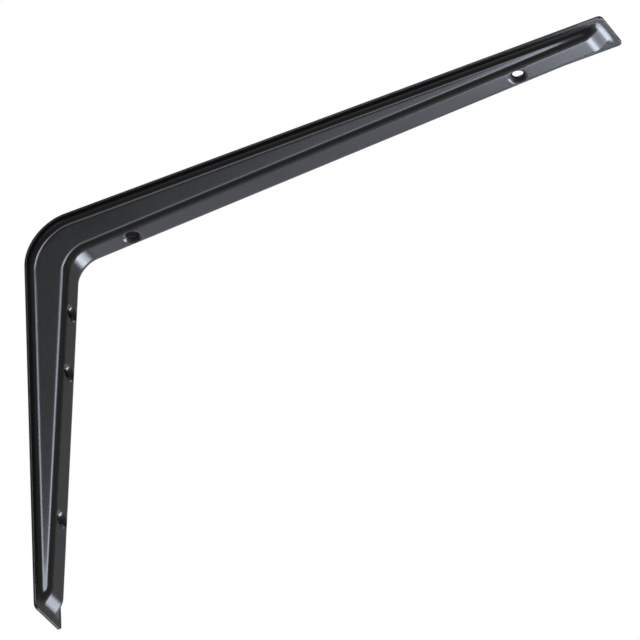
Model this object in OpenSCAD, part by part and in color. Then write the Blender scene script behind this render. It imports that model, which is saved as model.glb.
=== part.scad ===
// Shelf bracket pressed from one strip of sheet steel.
// The strip is bent into an L and carries a hollow rib on the inside of the L. Flat flanges run along both
// sides of the rib and lie against the wall and under the shelf. The rib is deepest at the corner, falls
// away along each arm and runs out in a ramp just before the flat tab at each end.
// +X points out from the wall and +Z up. The origin lies on the wall, in the middle of the lower end tab.

/* [Arms] */
// Length of the arm under the shelf, from the wall to its end edge
shelf_len = 300; // [240:1:400]
// Length of the arm on the wall, from the shelf to its end edge
wall_len = 212.5; // [180:0.5:320]
// Width of the strip
strip_w = 23; // [21:0.1:30]
// Thickness of the sheet
sheet_t = 1.2; // [0.8:0.1:1.6]
// Outer radius of the flanges at the corner
flange_bend_r = 22; // [18:0.5:28]

/* [Rib] */
// Width of the rib across its crest
crest_w = 13.8; // [12:0.1:15]
// How much wider each side of the rib is at its foot
web_draft = 0.15; // [0:0.05:0.8]
// Height of the shelf arm's crest line where it meets the wall
shelf_rib_root = 20.8; // [14:0.1:26]
// Height of the shelf arm's crest line at the end edge
shelf_rib_tip = 5.1; // [3:0.1:8]
// Height of the wall arm's crest line where it meets the shelf
wall_rib_root = 21.9; // [14:0.1:26]
// Height of the wall arm's crest line at the end edge
wall_rib_tip = 5.3; // [3:0.1:8]
// Radius of the crest at the corner
crest_bend_r = 11.2; // [8:0.1:16]
// Radius of the hollow between flange and rib side where the rib is deepest
foot_r_deep = 2.9; // [2:0.1:3.2]
// Radius of the same hollow where the rib runs out
foot_r_end = 2.1; // [1.5:0.1:2.6]
// Radius of the rounding along the edge of the crest where the rib is deepest
crest_r_deep = 3.4; // [2.6:0.1:3.8]
// Radius of the same rounding where the rib runs out
crest_r_end = 2.4; // [2:0.1:3]

/* [End tabs] */
// Length of the flat tab beyond the foot of the ramp
tab_len = 1.9; // [1.5:0.1:6]
// Slope of the ramp in degrees
ramp_angle = 37; // [28:1:50]
// Height over which the foot of the ramp is blended into the tab
ramp_foot_blend = 1.4; // [0.6:0.1:1.8]
// Height over which the top of the ramp is blended into the crest
ramp_top_blend = 1.3; // [0.8:0.1:2.4]
// Radius of the rib's end corners, seen along the screws
rib_corner_r = 3; // [2:0.1:4]
// Radius of the tab's corners
tab_corner_r = 2.2; // [1:0.1:4]

/* [Screw holes] */
// Diameter of the screw holes
hole_d = 5; // [4:0.1:6]
// Diameter of the dimple round each hole
dimple_d = 9.8; // [7:0.1:10.4]
// Depth of the dimple's cone
dimple_depth = 1.9; // [0.8:0.1:2.2]
// Length of the straight wall of each hole
hole_land = 0.5; // [0.4:0.1:1.6]
// Distance of the inner shelf hole from the wall
shelf_hole_inner = 51; // [44:1:80]
// Distance of the outer shelf hole from the end edge
shelf_hole_outer = 48; // [30:1:80]
// Distance of the top wall hole from the shelf
wall_hole_top = 49; // [44:1:60]
// Distance of the middle wall hole from the shelf
wall_hole_middle = 82; // [74:1:110]
// Distance of the bottom wall hole from the end edge
wall_hole_bottom = 51; // [30:1:65]

/* [Hidden] */
coat_colour = [0.09, 0.09, 0.1];
$fn = 64;
// Room by which a cutter passes through what it cuts
cut_over = 1;
// Pieces along each rounding of the section, along each ramp, along each arm and round the corner
arc_steps = 4;
ramp_steps = 10;
arm_steps = 2;
fan_steps = 18;
// Share of even spacing among the points of a rib side, which keeps them apart where the rib is flat
even_share = 0.15;
// Height of the shelf above the origin
shelf_z = wall_len - tab_len / 2;
// Height of the rib where it is deepest
deepest = max(shelf_rib_root, wall_rib_root);
// The sections round the corner all pass through one point, this far from the wall and from the shelf
fan_r = max(flange_bend_r, deepest) + crest_bend_r + crest_r_deep;
// Half the length of the blend at the foot of the ramp
foot_reach = ramp_foot_blend / tan(ramp_angle);
// Half the least width of the crest at the end of the rib, and the end corner radius that leaves it
crest_left = 0.2;
end_corner_r = min(rib_corner_r, crest_w / 2 - crest_r_end - crest_left);

// Rounded minimum and maximum of two heights
function soft_min(a, b, k) = min(a, b) - pow(max(k - abs(a - b), 0), 2) / (4 * k);
function soft_max(a, b, k) = -soft_min(-a, -b, k);
function mix(a, b, u) = a + (b - a) * u;

// An arm is [length, rib height at the root, rib height at the tip]
shelf_arm = [shelf_len, shelf_rib_root, shelf_rib_tip];
wall_arm = [wall_len, wall_rib_root, wall_rib_tip];
function rib_slope(arm) = (arm[1] - arm[2]) / arm[0];
function rib_line(arm, s) = arm[1] - rib_slope(arm) * s;

// Height of the ramp's slope, and of the crest's front, above the back of the strip at distance s
function ramp_height(arm, s) = (arm[0] - tab_len - foot_reach - s) * tan(ramp_angle);
function crest_height(arm, s) =
    sheet_t + soft_min(rib_line(arm, s) - sheet_t,
                       soft_max(0, ramp_height(arm, s), ramp_foot_blend), ramp_top_blend);

// How far each side of the rib draws in at distance s, which rounds the rib's end corners
function end_inset(arm, s) =
    let (past = s - (arm[0] - tab_len - end_corner_r))
    past <= 0 ? 0 : end_corner_r - sqrt(max(end_corner_r * end_corner_r - past * past, 0));

// Rounded corner of two lines: [wall line, wall slope, shelf line, shelf slope, radius, centre]
function corner(wall_h, wall_k, shelf_h, shelf_k, r) =
    let (a = wall_h + r * sqrt(1 + wall_k * wall_k))
    let (b = shelf_h + r * sqrt(1 + shelf_k * shelf_k))
    let (x = (a - wall_k * b) / (1 - wall_k * shelf_k))
    [wall_h, wall_k, shelf_h, shelf_k, r, [x, shelf_k * x - b]];

// Distance from the fan's centre to a rounded corner, with 0 degrees towards the wall and 90 to the shelf
function corner_reach(c, angle) =
    let (d = [-cos(angle), sin(angle)])
    let (to_wall = (fan_r - c[0] + c[1] * fan_r) / (cos(angle) + c[1] * sin(angle)))
    let (to_shelf = (fan_r - c[2] + c[3] * fan_r) / (sin(angle) + c[3] * cos(angle)))
    let (on_wall = to_wall <= to_shelf)
    let (hit = fan_centre + min(to_wall, to_shelf) * d)
    let (along = on_wall ? [c[1], 1] : [-1, -c[3]])
    let (q = fan_centre - c[5])
    (hit - c[5]) * along <= 0
        ? min(to_wall, to_shelf)
        : -(q * d) + sqrt(pow(q * d, 2) - q * q + c[4] * c[4]);

fan_centre = [fan_r, -fan_r];
flange_corner = corner(0, 0, 0, 0, flange_bend_r);
crest_corner = corner(wall_rib_root, rib_slope(wall_arm),
                      shelf_rib_root, rib_slope(shelf_arm), crest_bend_r);

// A station is [point on the back of the strip, direction into the L, crest height, inset of the rib sides]
function wall_station(s) = [[0, -s], [1, 0], crest_height(wall_arm, s), end_inset(wall_arm, s)];
function shelf_station(s) = [[s, 0], [0, -1], crest_height(shelf_arm, s), end_inset(shelf_arm, s)];
function fan_station(angle) =
    let (d = [-cos(angle), sin(angle)])
    let (back = corner_reach(flange_corner, angle))
    [fan_centre + back * d, -d, back - corner_reach(crest_corner, angle), 0];

// Distances of an arm's stations from the corner, closest first
function ramp_top(arm) = arm[0] - tab_len - foot_reach - (arm[2] + ramp_top_blend) / tan(ramp_angle);
function arm_marks(arm) = concat(
    [for (i = [0 : arm_steps - 1]) mix(fan_r, ramp_top(arm), i / arm_steps)],
    [for (i = [0 : ramp_steps]) mix(ramp_top(arm), arm[0] - tab_len, i / ramp_steps)],
    [arm[0]]);
function reversed(list) = [for (i = [len(list) - 1 : -1 : 0]) list[i]];
stations = concat(
    [for (s = reversed(arm_marks(wall_arm))) wall_station(s)],
    [for (i = [1 : fan_steps - 1]) fan_station(90 * i / fan_steps)],
    [for (s = arm_marks(shelf_arm)) shelf_station(s)]);

// A rounding of the rib's section, which gets larger as the rib gets deeper
function graded(at_end, at_deepest, crest_h) =
    mix(at_end, at_deepest, min((crest_h - sheet_t) / (deepest - sheet_t), 1));

// One side of the rib's section as [y, height] points, from flange to crest.
// The depth is 0 for the front of the sheet and its thickness for the back.
function rib_side(crest_h, inset, depth) =
    let (foot_r = graded(foot_r_end, foot_r_deep, crest_h))
    let (crest_r = graded(crest_r_end, crest_r_deep, crest_h))
    let (foot = [crest_w / 2 + web_draft + foot_r - inset, sheet_t + foot_r])
    let (top = [crest_w / 2 - crest_r - inset, crest_h - crest_r])
    let (gap = foot - top)
    let (slant = atan2(-gap[1], gap[0]) + asin((foot_r + crest_r) / norm(gap)))
    let (foot_arc = foot_r * slant * PI / 180)
    let (crest_arc = crest_r * slant * PI / 180)
    let (web = sqrt(max(gap * gap - pow(foot_r + crest_r, 2), 0)))
    let (web_foot = arc_point(foot, -foot_r - depth, slant))
    let (web_top = arc_point(top, crest_r - depth, slant))
    [for (i = [0 : 2 * arc_steps + 1])
        let (run = side_run(i, foot_arc, web, crest_arc))
        run < foot_arc
            ? arc_point(foot, -foot_r - depth, slant * run / foot_arc)
            : run > foot_arc + web
                ? arc_point(top, crest_r - depth, slant * (foot_arc + web + crest_arc - run) / crest_arc)
                : mix(web_foot, web_top, (run - foot_arc) / web)];

// Distance of point i along a rib side, from the start of the foot's arc
function side_run(i, foot_arc, web, crest_arc) =
    let (drawn = i <= arc_steps
        ? foot_arc * i / arc_steps
        : foot_arc + web + crest_arc * (i - arc_steps - 1) / arc_steps)
    mix(drawn, (foot_arc + web + crest_arc) * i / (2 * arc_steps + 1), even_share);

// Point on an arc, at an angle from the direction of the height
function arc_point(centre, r, angle) = centre + r * [sin(angle), cos(angle)];

// Closed outline of the sheet at one station
function mirrored(points) = [for (p = points) [-p[0], p[1]]];
function section(crest_h, inset) =
    let (front = concat([[strip_w / 2, sheet_t]], rib_side(crest_h, inset, 0)))
    let (back = concat([[strip_w / 2, 0]], rib_side(crest_h, inset, sheet_t)))
    concat(mirrored(front), reversed(front), back, reversed(mirrored(back)));

function placed(station) =
    [for (p = section(station[2], station[3]))
        let (q = station[0] + p[1] * station[1])
        [q[0], p[0], q[1]]];

// The pressed and bent strip before it is trimmed and punched. Wall and shelf meet at the origin.
module pressed_strip() {
    rings = [for (station = stations) placed(station)];
    n = len(rings[0]);
    last = len(rings) - 1;
    sides = [for (k = [0 : last - 1], i = [0 : n - 1], half = [0, 1])
        let (j = (i + 1) % n)
        half == 0
            ? [k * n + i, (k + 1) * n + j, k * n + j]
            : [k * n + i, (k + 1) * n + i, (k + 1) * n + j]];
    start_cap = [for (i = [0 : n / 2 - 2])
        each [[i, i + 1, n - 1 - i], [i + 1, n - 2 - i, n - 1 - i]]];
    end_cap = [for (face = start_cap) [for (i = reversed(face)) last * n + i]];
    polyhedron(
        points = [for (ring = rings) each ring],
        faces = concat(sides, start_cap, end_cap),
        convexity = 8);
}

// Lays what is drawn on the wall arm at distance s from the shelf, with Z into the L and Y to the end
module on_wall(s) {
    translate([0, 0, -s]) rotate([0, 90, 0]) rotate([0, 0, -90]) children();
}

// The same for the shelf arm, at distance s from the wall
module on_shelf(s) {
    translate([s, 0, 0]) rotate([180, 0, 0]) rotate([0, 0, -90]) children();
}

// What is trimmed off the two corners of a tab, with the end edge on the X axis and the tab below it
module tab_trim() {
    for (side = [-1, 1])
        scale([side, 1, 1])
            translate([strip_w / 2 - tab_corner_r, -tab_corner_r, -cut_over])
                linear_extrude(sheet_t + 2 * cut_over)
                    difference() {
                        square(tab_corner_r + cut_over);
                        circle(tab_corner_r);
                    }
}

// Metal pushed out behind a dimple, with the crest at height h
module dimple_back(h) {
    bottom = h - dimple_depth - hole_land;
    translate([0, 0, bottom])
        cylinder(h = h - sheet_t / 2 - bottom, d1 = hole_d + 2 * sheet_t, d2 = dimple_d + sheet_t);
}

// The dimple's cone and the screw hole, with the crest at height h
module dimple_hole(h) {
    spread = (dimple_d - hole_d) / dimple_depth;
    translate([0, 0, h - dimple_depth])
        cylinder(h = dimple_depth + cut_over, d1 = hole_d, d2 = dimple_d + spread * cut_over);
    translate([0, 0, h - dimple_depth - hole_land - cut_over])
        cylinder(h = hole_land + dimple_depth + cut_over, d = hole_d);
}

shelf_holes = [shelf_hole_inner, shelf_len - shelf_hole_outer];
wall_holes = [wall_hole_top, wall_hole_middle, wall_len - wall_hole_bottom];

module bracket() {
    color(coat_colour)
        translate([0, 0, shelf_z])
            difference() {
                union() {
                    pressed_strip();
                    for (s = shelf_holes) on_shelf(s) dimple_back(crest_height(shelf_arm, s));
                    for (s = wall_holes) on_wall(s) dimple_back(crest_height(wall_arm, s));
                }
                for (s = shelf_holes) on_shelf(s) dimple_hole(crest_height(shelf_arm, s));
                for (s = wall_holes) on_wall(s) dimple_hole(crest_height(wall_arm, s));
                on_shelf(shelf_len) tab_trim();
                on_wall(wall_len) tab_trim();
            }
}

bracket();
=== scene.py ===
"""Shelf bracket pressed from one steel strip, with a black powder coat, seen from below inside the L."""
import math

import bmesh
import bpy
import numpy as np
from mathutils import Matrix, Vector


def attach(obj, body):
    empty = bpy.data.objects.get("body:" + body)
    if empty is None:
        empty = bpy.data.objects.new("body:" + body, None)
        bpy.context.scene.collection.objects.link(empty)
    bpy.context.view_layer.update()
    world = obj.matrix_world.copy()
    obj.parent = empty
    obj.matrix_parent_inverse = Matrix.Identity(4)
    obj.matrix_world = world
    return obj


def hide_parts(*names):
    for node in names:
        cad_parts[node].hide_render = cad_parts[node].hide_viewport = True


MM = 0.001

# Sizes of the pressed strip in millimetres and degrees, as in the CAD model
SHELF_LEN = 300.0
WALL_LEN = 212.5
STRIP_W = 23.0
SHEET_T = 1.2
FLANGE_BEND_R = 22.0
CREST_W = 13.8
WEB_DRAFT = 0.15
SHELF_RIB_ROOT = 20.8
SHELF_RIB_TIP = 5.1
WALL_RIB_ROOT = 21.9
WALL_RIB_TIP = 5.3
CREST_BEND_R = 11.2
FOOT_R = (2.1, 2.9)
CREST_R = (2.4, 3.4)
TAB_LEN = 1.9
RAMP_ANGLE = 37.0
RAMP_FOOT_BLEND = 1.4
RAMP_TOP_BLEND = 1.3
RIB_CORNER_R = 3.0
TAB_CORNER_R = 2.2
HOLE_R = 2.5
DIMPLE_DEPTH = 1.9
HOLE_LAND = 0.5
# Distance of each hole along its arm, from the back of the other arm
SHELF_HOLES = (51.0, SHELF_LEN - 48.0)
WALL_HOLES = (49.0, 82.0, WALL_LEN - 51.0)

# Height of the shelf arm's back, depth of the rib, and the corner where sections fan round one centre
SHELF_Z = WALL_LEN - TAB_LEN / 2
DEEPEST = max(SHELF_RIB_ROOT, WALL_RIB_ROOT)
FAN_R = max(FLANGE_BEND_R, DEEPEST) + CREST_BEND_R + CREST_R[1]
FAN_CENTRE = np.array([FAN_R, -FAN_R])
RAMP_SLOPE = math.tan(math.radians(RAMP_ANGLE))
FOOT_REACH = RAMP_FOOT_BLEND / RAMP_SLOPE

# Mouth of a dimple, a flare a little narrower than the CAD model's cone, which is 9.8 mm across.
# A flare of 1 is a quarter ellipse and 2 a straight cone
MOUTH_R = 4.5
FLARE = 1.5
# Rounding of the sheet's cut edges, and of the lower edge of each hole
EDGE_R = 0.12
BORE_EDGE_R = 0.15
# The metal pushed out behind a hole: radius of its flat end and of its root
BOSS_R = 3.7
BOSS_ROOT_R = 5.5

# Fineness of the mesh: numbers of steps
CREST_STEPS = 5
ARC_STEPS = 10
WEB_STEPS = 6
FLANGE_STEPS = 3
FAN_STEPS = 60
RAMP_STEPS = 36
TAB_STEPS = 8
EDGE_STEPS = 4
FUNNEL_STEPS = 14
PATCH_STEPS = 14
# Half the length of the patch round a hole and the spacing of plain sections, in millimetres
PATCH_REACH = 6.6
ARM_SPACING = 6.0
# Rows between the edge of that patch and the mouth of the dimple, as shares of the way from the mouth
PATCH_ROWS = (0.66, 0.33)
# How far the points across the rib move towards even spacing
EVEN_SHARE = 0.1
# How far the larger faces lead in the smooth shading, where 50 is neutral
SHADING_WEIGHT = 70


def soft_min(a, b, k):
    """The smaller of two heights, rounded where they cross."""
    return min(a, b) - max(k - abs(a - b), 0) ** 2 / (4 * k)


def soft_max(a, b, k):
    """The larger of two heights, rounded where they cross."""
    return -soft_min(-a, -b, k)


def graded(radii, crest):
    """A radius that grows from the first to the second as the rib gets deeper."""
    share = min((crest - SHEET_T) / (DEEPEST - SHEET_T), 1)
    return radii[0] + (radii[1] - radii[0]) * share


class Arm:
    """One arm of the L: its length and the line of its crest."""

    def __init__(self, length, root, tip):
        self.length = length
        self.root = root
        self.tip = tip
        self.slope = (root - tip) / length

    def crest(self, s):
        """Height of the crest's front above the back of the strip."""
        line = self.root - self.slope * s - SHEET_T
        ramp = (self.length - TAB_LEN - FOOT_REACH - s) * RAMP_SLOPE
        return SHEET_T + soft_min(line, soft_max(0, ramp, RAMP_FOOT_BLEND), RAMP_TOP_BLEND)

    def inset(self, s):
        """How far the rib's sides draw in towards its rounded end."""
        past = s - (self.length - TAB_LEN - RIB_CORNER_R)
        if past <= 0:
            return 0.0
        return RIB_CORNER_R - math.sqrt(max(RIB_CORNER_R**2 - past**2, 0))

    def turn(self, s):
        """Angle that the strip's edge has turned through, round the corner of the tab."""
        past = s - (self.length - TAB_CORNER_R)
        return math.asin(min(max(past / (TAB_CORNER_R - EDGE_R), 0), 1))

    def ramp_top(self):
        return self.length - TAB_LEN - FOOT_REACH - (self.tip + RAMP_TOP_BLEND) / RAMP_SLOPE


SHELF_ARM = Arm(SHELF_LEN, SHELF_RIB_ROOT, SHELF_RIB_TIP)
WALL_ARM = Arm(WALL_LEN, WALL_RIB_ROOT, WALL_RIB_TIP)


class Corner:
    """Rounded corner of a wall line and a shelf line, each with its slope."""

    def __init__(self, wall_h, wall_k, shelf_h, shelf_k, r):
        a = wall_h + r * math.hypot(1, wall_k)
        b = shelf_h + r * math.hypot(1, shelf_k)
        x = (a - wall_k * b) / (1 - wall_k * shelf_k)
        self.wall = (wall_h, wall_k)
        self.shelf = (shelf_h, shelf_k)
        self.r = r
        self.centre = np.array([x, shelf_k * x - b])

    def reach(self, angle):
        """Distance from the fan's centre, at 0 towards the wall and a right angle to the shelf."""
        d = np.array([-math.cos(angle), math.sin(angle)])
        wall_h, wall_k = self.wall
        shelf_h, shelf_k = self.shelf
        to_wall = (FAN_R - wall_h + wall_k * FAN_R) / (math.cos(angle) + wall_k * math.sin(angle))
        to_shelf = (FAN_R - shelf_h + shelf_k * FAN_R) / (math.sin(angle) + shelf_k * math.cos(angle))
        near = min(to_wall, to_shelf)
        along = np.array([wall_k, 1]) if to_wall <= to_shelf else np.array([-1, -shelf_k])
        if (FAN_CENTRE + near * d - self.centre) @ along <= 0:
            return near
        q = FAN_CENTRE - self.centre
        return -(q @ d) + math.sqrt((q @ d) ** 2 - q @ q + self.r**2)


FLANGE_CORNER = Corner(0, 0, 0, 0, FLANGE_BEND_R)
CREST_CORNER = Corner(WALL_RIB_ROOT, WALL_ARM.slope, SHELF_RIB_ROOT, SHELF_ARM.slope, CREST_BEND_R)


class Station:
    """One cross-section of the strip: where it is, which way is into the L, and what it looks like."""

    def __init__(self, back, inward, crest, inset=0.0, outward=(0.0, 0.0), turn=0.0):
        self.back = np.array(back, float)
        self.inward = np.array(inward, float)
        self.crest = crest
        self.inset = inset
        self.outward = np.array(outward, float)
        self.turn = turn
        self.half_w = STRIP_W / 2 - TAB_CORNER_R + (TAB_CORNER_R - EDGE_R) * math.cos(turn)

    def at(self, y, height):
        """Point of the row frame, in millimetres."""
        x, z = self.back + height * self.inward
        return (x, y, z + SHELF_Z)

    def edge_normal(self, side):
        """Direction out of the sheet's edge on one side."""
        x, z = self.outward * math.sin(self.turn)
        return np.array([x, side * math.cos(self.turn), z])


def wall_station(s):
    return Station((0, -s), (1, 0), WALL_ARM.crest(s), WALL_ARM.inset(s), (0, -1), WALL_ARM.turn(s))


def shelf_station(s):
    return Station((s, 0), (0, -1), SHELF_ARM.crest(s), SHELF_ARM.inset(s), (1, 0), SHELF_ARM.turn(s))


def fan_station(angle):
    d = np.array([-math.cos(angle), math.sin(angle)])
    back = FLANGE_CORNER.reach(angle)
    return Station(FAN_CENTRE + back * d, -d, back - CREST_CORNER.reach(angle))


def spaced(start, end, steps):
    """Evenly spaced marks after start, up to and including end."""
    return [start + (end - start) * (i + 1) / steps for i in range(steps)]


def arm_marks(arm, holes):
    """Distances of an arm's stations after the corner, and where each hole's span of them starts."""
    marks = [FAN_R]
    spans = []
    for hole in holes:
        gap = hole - PATCH_REACH - marks[-1]
        marks += spaced(marks[-1], hole - PATCH_REACH, max(1, round(gap / ARM_SPACING)))
        spans.append((hole, len(marks) - 2))
        marks += spaced(hole - PATCH_REACH, hole + PATCH_REACH, PATCH_STEPS)
    gap = arm.ramp_top() - marks[-1]
    marks += spaced(marks[-1], arm.ramp_top(), max(1, round(gap / ARM_SPACING)))
    return marks[1:] + end_marks(arm), spans


def end_marks(arm):
    """Distances of the stations down the ramp, round the rib's end and round the corners of the tab."""
    rounding = arm.length - TAB_LEN - RIB_CORNER_R
    corner = arm.length - TAB_CORNER_R
    marks = spaced(arm.ramp_top(), rounding, RAMP_STEPS // 2)
    quarter = spaced(0, math.pi / 2, RAMP_STEPS // 2)
    marks += [rounding + RIB_CORNER_R * math.sin(a) for a in quarter] + [corner]
    quarter = spaced(0, math.pi / 2, TAB_STEPS)
    marks += [corner + (TAB_CORNER_R - EDGE_R) * math.sin(a) for a in quarter]
    return sorted(marks)


def rib_side(crest, inset, depth):
    """One side of the rib as (y, height), from the edge of the crest to the flange."""
    foot_r, crest_r = graded(FOOT_R, crest), graded(CREST_R, crest)
    foot = np.array([CREST_W / 2 + WEB_DRAFT + foot_r - inset, SHEET_T + foot_r])
    top = np.array([CREST_W / 2 - crest_r - inset, crest - crest_r])
    gap = foot - top
    both = foot_r + crest_r
    reach = math.hypot(*gap)
    slant = math.atan2(-gap[1], gap[0]) + math.asin(min(both / reach, 1))
    web = math.sqrt(max(reach**2 - both**2, 0))
    crest_arc, foot_arc = crest_r * slant, foot_r * slant
    whole = crest_arc + web + foot_arc
    drawn = [crest_arc * i / ARC_STEPS for i in range(ARC_STEPS + 1)]
    drawn += [crest_arc + web * (i + 1) / WEB_STEPS for i in range(WEB_STEPS)]
    drawn += [crest_arc + web + foot_arc * (i + 1) / ARC_STEPS for i in range(ARC_STEPS)]
    last = len(drawn) - 1

    def crest_point(angle):
        return top + (crest_r - depth) * np.array([math.sin(angle), math.cos(angle)])

    def foot_point(angle):
        return foot - (foot_r + depth) * np.array([math.sin(angle), math.cos(angle)])

    points = []
    for i, run in enumerate(drawn):
        run += (whole * i / last - run) * EVEN_SHARE
        if run < crest_arc:
            points.append(crest_point(run / crest_r))
        elif run <= crest_arc + web:
            share = (run - crest_arc) / web
            points.append(crest_point(slant) * (1 - share) + foot_point(slant) * share)
        else:
            points.append(foot_point(slant - (run - crest_arc - web) / foot_r))
    return points


def half_section(station, depth):
    """(y, height) points from the middle of the crest to the edge of the flange."""
    side = rib_side(station.crest, station.inset, depth)
    crest = [side[0] * np.array([i / CREST_STEPS, 1]) for i in range(CREST_STEPS)]
    flange_h = SHEET_T - depth
    foot_y = side[-1][0]
    flange = [(y, flange_h) for y in spaced(foot_y, station.half_w, FLANGE_STEPS)]
    return crest + side + flange


def section(station, depth):
    half = half_section(station, depth)
    return [(-y, h) for y, h in reversed(half[1:])] + list(half)


class Shell:
    """Collects the vertices and faces of the sheet."""

    def __init__(self):
        self.points = []
        self.faces = []

    def add(self, points):
        start = len(self.points)
        self.points += [tuple(p) for p in points]
        return list(range(start, len(self.points)))

    def join(self, ring, other, closed=True):
        """Quads between two rows of the same number of vertices."""
        n = len(ring)
        for i in range(n if closed else n - 1):
            j = (i + 1) % n
            self.faces.append((ring[i], ring[j], other[j], other[i]))


def crest_drop(crest, y):
    """How far the rounded edge of the crest lies below its flat, at y."""
    r = graded(CREST_R, crest)
    past = abs(y) - (CREST_W / 2 - r)
    return 0.0 if past <= 0 else r - math.sqrt(max(r * r - past * past, 0))


def hole_profile():
    """(radius, depth) rings from the mouth of the dimple, through the hole, to the back of the sheet."""
    bottom = DIMPLE_DEPTH + HOLE_LAND
    rings = []
    for i in range(FUNNEL_STEPS + 1):
        a = math.pi / 2 * i / FUNNEL_STEPS
        inward, upward = math.sin(a) ** FLARE, math.cos(a) ** FLARE
        rings.append((MOUTH_R - (MOUTH_R - HOLE_R) * inward, DIMPLE_DEPTH * (1 - upward)))
    rings.append((HOLE_R, bottom - BORE_EDGE_R))
    rings.append((HOLE_R + BORE_EDGE_R, bottom))
    rings.append((BOSS_R, bottom))
    for i in range(1, FUNNEL_STEPS):
        share = i / FUNNEL_STEPS
        ease = share * share * (3 - 2 * share)
        rings.append((BOSS_R + (BOSS_ROOT_R - BOSS_R) * share, bottom + (SHEET_T - bottom) * ease))
    return rings


def rim(first, last, low, high):
    """(station, column) pairs round a patch of the grid."""
    loop = [(i, low) for i in range(first, last)]
    loop += [(last, k) for k in range(low, high)]
    loop += [(i, high) for i in range(last, first, -1)]
    loop += [(first, k) for k in range(high, low, -1)]
    return loop


def punch(shell, station_at, hole, front_rim, back_rim, places):
    """Fills a patch of both grids with a dimpled hole.

    places gives (s, y) of each vertex on the front rim.
    """
    angles = [math.atan2(y, s - hole) for s, y in places]

    def ring(radius, depth, share=0.0):
        points = []
        for angle, (s, y) in zip(angles, places):
            rs = hole + radius * math.cos(angle)
            ry = radius * math.sin(angle)
            rs, ry = rs + (s - rs) * share, ry + (y - ry) * share
            station = station_at(rs)
            points.append(station.at(ry, station.crest - crest_drop(station.crest, ry) - depth))
        return shell.add(points)

    rows = [front_rim] + [ring(MOUTH_R, 0, share) for share in PATCH_ROWS]
    rows += [ring(radius, depth) for radius, depth in hole_profile()]
    rows.append(back_rim)
    for row, following in zip(rows, rows[1:]):
        shell.join(row, following)


def edge_profile():
    """(outward, height) of the rounded cut edge, from front to back, without its two ends."""
    arc = [math.pi / 2 * (i + 1) / EDGE_STEPS for i in range(EDGE_STEPS)]
    front = [(EDGE_R * math.sin(a), SHEET_T - EDGE_R * (1 - math.cos(a))) for a in arc]
    return front + [(out, SHEET_T - h) for out, h in reversed(front)]


def build_shell():
    """The whole strip as one closed skin."""
    wall, wall_spans = arm_marks(WALL_ARM, WALL_HOLES)
    shelf, shelf_spans = arm_marks(SHELF_ARM, SHELF_HOLES)
    stations = [wall_station(s) for s in reversed(wall)]
    stations.append(wall_station(FAN_R))
    stations += [fan_station(math.pi / 2 * i / FAN_STEPS) for i in range(1, FAN_STEPS)]
    stations += [shelf_station(FAN_R)] + [shelf_station(s) for s in shelf]
    shell = Shell()
    grids = []
    for depth in (0.0, SHEET_T):
        grids.append([shell.add(st.at(y, h) for y, h in section(st, depth)) for st in stations])
    middle = len(grids[0][0]) // 2
    low, high = middle - CREST_STEPS - ARC_STEPS // 2, middle + CREST_STEPS + ARC_STEPS // 2
    holes = []
    for hole, start in wall_spans:
        last = len(wall) - 1 - start
        holes.append((wall_station, hole, last - PATCH_STEPS, last))
    for hole, start in shelf_spans:
        first = len(wall) + FAN_STEPS + 1 + start
        holes.append((shelf_station, hole, first, first + PATCH_STEPS))
    fill_grids(shell, grids, [(first, last, low, high) for _, _, first, last in holes])
    for station_at, hole, first, last in holes:
        loop = rim(first, last, low, high)
        places = []
        for i, k in loop:
            x, y, z = shell.points[grids[0][i][k]]
            places.append((SHELF_Z - z if station_at is wall_station else x, y))
        rims = [[grid[i][k] for i, k in loop] for grid in grids]
        punch(shell, station_at, hole, rims[0], rims[1], places)
    close_edges(shell, grids, stations)
    return shell


def fill_grids(shell, grids, patches):
    """Quads of the front and the back, leaving out the patches that get holes."""
    rows, columns = len(grids[0]), len(grids[0][0])
    for i in range(rows - 1):
        for k in range(columns - 1):
            if any(a <= i < b and c <= k < d for a, b, c, d in patches):
                continue
            for grid in grids:
                shell.faces.append((grid[i][k], grid[i + 1][k], grid[i + 1][k + 1], grid[i][k + 1]))


def close_edges(shell, grids, stations):
    """The rounded cut edge all the way round the strip."""
    last = len(stations) - 1
    columns = len(grids[0][0])
    loop = [(i, 0, stations[i].edge_normal(-1)) for i in range(last)]
    loop += [(last, k, stations[last].edge_normal(-1)) for k in range(columns - 1)]
    loop += [(i, columns - 1, stations[i].edge_normal(1)) for i in range(last, 0, -1)]
    loop += [(0, k, stations[0].edge_normal(1)) for k in range(columns - 1, 0, -1)]
    front, back = [[grid[i][k] for i, k, _ in loop] for grid in grids]
    rows = [front]
    for out, height in edge_profile():
        points = []
        for i, k, normal in loop:
            y = shell.points[grids[1][i][k]][1]
            points.append(np.array(stations[i].at(y, height)) + out * normal)
        rows.append(shell.add(points))
    rows.append(back)
    for row, following in zip(rows, rows[1:]):
        shell.join(row, following)


def bracket_object(material):
    shell = build_shell()
    mesh = bpy.data.meshes.new("bracket_coated")
    mesh.from_pydata((np.array(shell.points) * MM).tolist(), [], shell.faces)
    bm = bmesh.new()
    bm.from_mesh(mesh)
    used = {v for f in bm.faces for v in f.verts}
    bmesh.ops.delete(bm, geom=[v for v in bm.verts if v not in used], context="VERTS")
    bmesh.ops.recalc_face_normals(bm, faces=bm.faces)
    for face in bm.faces:
        face.smooth = True
    bm.to_mesh(mesh)
    bm.free()
    mesh.materials.append(material)
    piece = bpy.data.objects.new("bracket_coated", mesh)
    bpy.context.scene.collection.objects.link(piece)
    even = piece.modifiers.new("even_shading", "WEIGHTED_NORMAL")
    even.weight = SHADING_WEIGHT
    return piece


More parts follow.
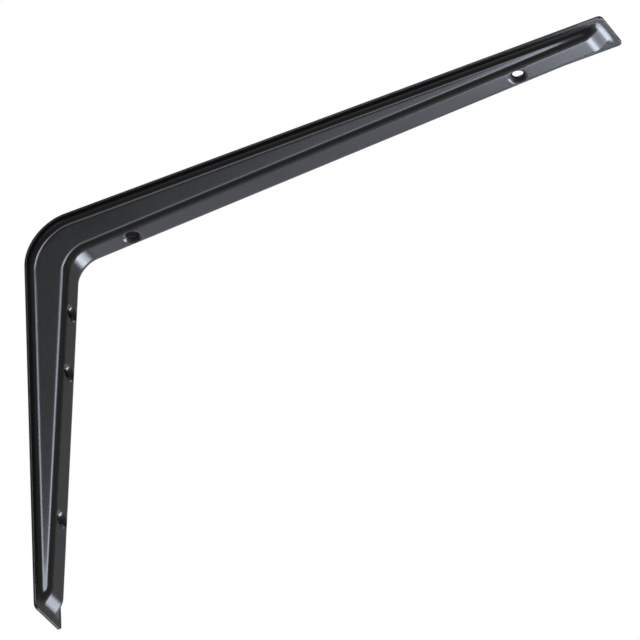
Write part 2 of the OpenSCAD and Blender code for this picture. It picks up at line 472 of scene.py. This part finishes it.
class Nodes:
    """Short calls for a node tree."""

    def __init__(self, tree):
        self.tree = tree
        tree.nodes.clear()

    def add(self, kind, **settings):
        node = self.tree.nodes.new(kind)
        for name, value in settings.items():
            setattr(node, name, value)
        return node

    def link(self, output, socket):
        self.tree.links.new(output, socket)


# The powder coat: colours of the grain, roughness, and scale and detail of its noises
COAT_DARK = (0.012, 0.012, 0.012, 1)
COAT_LIGHT = (0.021, 0.021, 0.021, 1)
COAT_ROUGHNESS = (0.16, 0.21)
CLOUD_SCALE, CLOUD_DETAIL = 60.0, 4.0
GRAIN_SCALE, GRAIN_DETAIL = 3500.0, 2.0
PEEL_SCALE, PEEL_DETAIL = 900.0, 2.0
PEEL_STRENGTH = 0.05
PEEL_DEPTH = 0.2 * MM
# Values of the grain's noise between which its colour changes
GRAIN_SPAN = (0.35, 0.65)


def ramp(nodes, low, high, start=0.0, end=1.0):
    """A change of colour from low at start to high at end."""
    node = nodes.add("ShaderNodeValToRGB")
    node.color_ramp.elements[0].position = start
    node.color_ramp.elements[0].color = low
    node.color_ramp.elements[1].position = end
    node.color_ramp.elements[1].color = high
    return node


def coat_material():
    """Satin black powder coat: fine orange peel, grain in its shade and soft clouds in its gloss."""
    material = bpy.data.materials.new("black_powder_coat")
    material.use_nodes = True
    nodes = Nodes(material.node_tree)
    output = nodes.add("ShaderNodeOutputMaterial")
    shader = nodes.add("ShaderNodeBsdfPrincipled")
    nodes.link(shader.outputs["BSDF"], output.inputs["Surface"])
    place = nodes.add("ShaderNodeTexCoord").outputs["Object"]

    def noise(scale, detail):
        node = nodes.add("ShaderNodeTexNoise")
        node.inputs["Scale"].default_value = scale
        node.inputs["Detail"].default_value = detail
        nodes.link(place, node.inputs["Vector"])
        return node.outputs["Fac"]

    cloud = noise(CLOUD_SCALE, CLOUD_DETAIL)
    grain = noise(GRAIN_SCALE, GRAIN_DETAIL)
    colour = ramp(nodes, COAT_DARK, COAT_LIGHT, *GRAIN_SPAN)
    nodes.link(grain, colour.inputs["Fac"])
    nodes.link(colour.outputs["Color"], shader.inputs["Base Color"])
    gloss = nodes.add("ShaderNodeMapRange")
    gloss.inputs["To Min"].default_value = COAT_ROUGHNESS[0]
    gloss.inputs["To Max"].default_value = COAT_ROUGHNESS[1]
    nodes.link(cloud, gloss.inputs["Value"])
    nodes.link(gloss.outputs["Result"], shader.inputs["Roughness"])
    peel = nodes.add("ShaderNodeBump")
    peel.inputs["Strength"].default_value = PEEL_STRENGTH
    peel.inputs["Distance"].default_value = PEEL_DEPTH
    nodes.link(noise(PEEL_SCALE, PEEL_DETAIL), peel.inputs["Height"])
    nodes.link(peel.outputs["Normal"], shader.inputs["Normal"])
    return material


# Camera that matches the photograph, with lens and sensor in millimetres
CAMERA_AT = Vector((1.194379, -2.141912, -1.652536))
CAMERA_FORWARD = Vector((-0.3539037, 0.7223831, 0.5940663))
CAMERA_UP = Vector((0.315236, -0.5058772, 0.8029412))
CAMERA_LENS = 370.987
SENSOR_WIDTH = 36.0
VIEW_END = 100.0


def add_camera():
    data = bpy.data.cameras.new("photo_camera")
    data.lens = CAMERA_LENS
    data.sensor_width = SENSOR_WIDTH
    data.clip_end = VIEW_END
    camera = bpy.data.objects.new("photo_camera", data)
    bpy.context.scene.collection.objects.link(camera)
    right = CAMERA_FORWARD.cross(CAMERA_UP)
    turn = Matrix((right, CAMERA_UP, -CAMERA_FORWARD)).transposed()
    camera.matrix_world = Matrix.Translation(CAMERA_AT) @ turn.to_4x4()
    bpy.context.scene.camera = camera


# A cool white, the colour of the studio lamps
LAMP_COLOUR = (0.93, 1.0, 1.16)
TO_FRONT = (0.0, -1.0, 0.0)
TO_BACK = (0.0, 1.0, 0.0)
DOWN = (0.0, 0.0, -1.0)
SIDEWAYS = (1.0, 0.0, 0.0)
SLANTED = (0.846, 0.0, 0.533)
# Name, place, way it shines, way of its first size, both sizes in metres, and watts.
# The first three nest in each other, which gives their reflection soft ends
LAMPS = (
    ("low_back_core", (0.604, 0.60, -0.590), TO_FRONT, SLANTED, (0.295, 0.90), 3.43),
    ("low_back_middle", (0.523, 0.61, -0.640), TO_FRONT, SLANTED, (0.545, 0.90), 7.39),
    ("low_back_edge", (0.525, 0.62, -0.639), TO_FRONT, SLANTED, (0.850, 0.90), 11.52),
    ("low_back_spill", (-0.12, 2.2, -1.92), (0.1, -0.77, 0.72), SIDEWAYS, (0.46, 0.9), 0.6),
    ("low_left_softbox", (-1.30, 2.2, -1.80), (0.4, -0.77, 0.62), SIDEWAYS, (0.7, 0.9), 1.2),
    ("high_front_main", (-0.125, -2.20, 1.285), TO_BACK, SIDEWAYS, (0.85, 0.87), 16.3),
    ("high_front_left", (-0.825, -2.21, 0.625), TO_BACK, SIDEWAYS, (0.65, 0.75), 2.8),
    ("high_front_top", (0.400, -2.23, 1.800), TO_BACK, SIDEWAYS, (1.00, 0.40), 6.3),
    ("high_front_wing", (-0.325, -2.22, 1.250), TO_BACK, SIDEWAYS, (1.45, 0.70), 7.0),
    ("high_front_upper", (-0.775, -2.24, 1.900), TO_BACK, SIDEWAYS, (0.35, 0.40), 0.7),
    ("overhead_softbox", (0.1, 0.0, 3.0), DOWN, SIDEWAYS, (4.0, 4.0), 50.0),
)


def add_softbox(name, place, facing, long_way, size, power):
    """A rectangular lamp that shines along facing, with its first size along long_way."""
    data = bpy.data.lights.new(name, "AREA")
    data.shape = "RECTANGLE"
    data.size, data.size_y = size
    data.energy = power
    data.color = LAMP_COLOUR
    lamp = bpy.data.objects.new(name, data)
    bpy.context.scene.collection.objects.link(lamp)
    away = -Vector(facing).normalized()
    across = away.cross(Vector(long_way)).normalized()
    turn = Matrix((across.cross(away), across, away)).transposed()
    lamp.matrix_world = Matrix.Translation(place) @ turn.to_4x4()
    lamp.visible_camera = False


FLOOR_Z = -3.2
FLOOR_SIZE = 60.0
FLOOR_COLOUR = (0.86, 0.86, 0.85, 1)
# What the floor shows the camera besides its lit shade, to stay pale far from the lamps
FLOOR_GLOW = (0.55, 0.56, 0.56, 1)
# Light of the studio round the bracket: dim and warm above and in front, light and cool below and behind
ROOM_DIM = (0.205, 0.2, 0.18, 1)
ROOM_LIGHT = (0.87, 0.9, 1.0, 1)
ROOM_AXIS = (0.0, 0.8, -0.6)
ROOM_TURN = (0.0, 1.0)
# Where the white backdrop shows in reflections, as cosines of the angle from the camera's line of sight
BACKDROP_TURN = (0.93, 0.98)
BACKDROP_COLOUR = (1, 1, 1, 1)


def add_floor():
    """A pale floor well below the bracket, which hangs high enough to be seen from below."""
    bpy.ops.mesh.primitive_plane_add(size=FLOOR_SIZE, location=(0, 0, FLOOR_Z))
    floor = bpy.context.object
    floor.name = "floor"
    material = bpy.data.materials.new("pale_floor")
    material.use_nodes = True
    nodes = Nodes(material.node_tree)
    output = nodes.add("ShaderNodeOutputMaterial")
    matt = nodes.add("ShaderNodeBsdfDiffuse")
    matt.inputs["Color"].default_value = FLOOR_COLOUR
    glow = nodes.add("ShaderNodeEmission")
    glow.inputs["Color"].default_value = FLOOR_GLOW
    nodes.link(nodes.add("ShaderNodeLightPath").outputs["Is Camera Ray"], glow.inputs["Strength"])
    both = nodes.add("ShaderNodeAddShader")
    nodes.link(matt.outputs["BSDF"], both.inputs[0])
    nodes.link(glow.outputs["Emission"], both.inputs[1])
    nodes.link(both.outputs["Shader"], output.inputs["Surface"])
    floor.data.materials.append(material)
    floor.visible_glossy = False


def add_world():
    """White to the eye and where the backdrop shows in reflections, and a dimmer studio all round."""
    world = bpy.data.worlds.new("studio")
    world.use_nodes = True
    bpy.context.scene.world = world
    nodes = Nodes(world.node_tree)
    output = nodes.add("ShaderNodeOutputWorld")
    way = nodes.add("ShaderNodeTexCoord").outputs["Generated"]
    rays = nodes.add("ShaderNodeLightPath").outputs

    def along(axis, turn):
        """A share that grows smoothly from 0 to 1 as a direction turns towards an axis."""
        dot = nodes.add("ShaderNodeVectorMath", operation="DOT_PRODUCT")
        nodes.link(way, dot.inputs[0])
        dot.inputs[1].default_value = axis
        share = nodes.add("ShaderNodeMapRange", interpolation_type="SMOOTHSTEP")
        share.inputs["From Min"].default_value, share.inputs["From Max"].default_value = turn
        nodes.link(dot.outputs["Value"], share.inputs["Value"])
        return share.outputs["Result"]

    def combined(operation, a, b):
        node = nodes.add("ShaderNodeMath", operation=operation)
        nodes.link(a, node.inputs[0])
        nodes.link(b, node.inputs[1])
        return node.outputs[0]

    white = combined("MULTIPLY", rays["Is Glossy Ray"], along(CAMERA_FORWARD, BACKDROP_TURN))
    white = combined("MAXIMUM", white, rays["Is Camera Ray"])
    white = combined("MAXIMUM", white, rays["Is Transmission Ray"])
    room = nodes.add("ShaderNodeBackground")
    shade = ramp(nodes, ROOM_DIM, ROOM_LIGHT)
    nodes.link(along(ROOM_AXIS, ROOM_TURN), shade.inputs["Fac"])
    nodes.link(shade.outputs["Color"], room.inputs["Color"])
    backdrop = nodes.add("ShaderNodeBackground")
    backdrop.inputs["Color"].default_value = BACKDROP_COLOUR
    mixed = nodes.add("ShaderNodeMixShader")
    nodes.link(white, mixed.inputs["Fac"])
    nodes.link(room.outputs["Background"], mixed.inputs[1])
    nodes.link(backdrop.outputs["Background"], mixed.inputs[2])
    nodes.link(mixed.outputs["Shader"], output.inputs["Surface"])


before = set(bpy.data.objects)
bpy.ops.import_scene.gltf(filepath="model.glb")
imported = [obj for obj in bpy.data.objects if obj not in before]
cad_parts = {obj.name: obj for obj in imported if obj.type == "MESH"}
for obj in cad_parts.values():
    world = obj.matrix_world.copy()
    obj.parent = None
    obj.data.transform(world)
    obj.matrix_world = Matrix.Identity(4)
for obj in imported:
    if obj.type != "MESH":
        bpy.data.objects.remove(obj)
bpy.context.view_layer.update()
bpy.context.scene.view_settings.view_transform = "Standard"
add_camera()
add_world()
add_floor()
for lamp in LAMPS:
    add_softbox(*lamp)
bracket = bracket_object(coat_material())
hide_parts("bracket")
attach(bracket, "root")
bpy.context.view_layer.update()
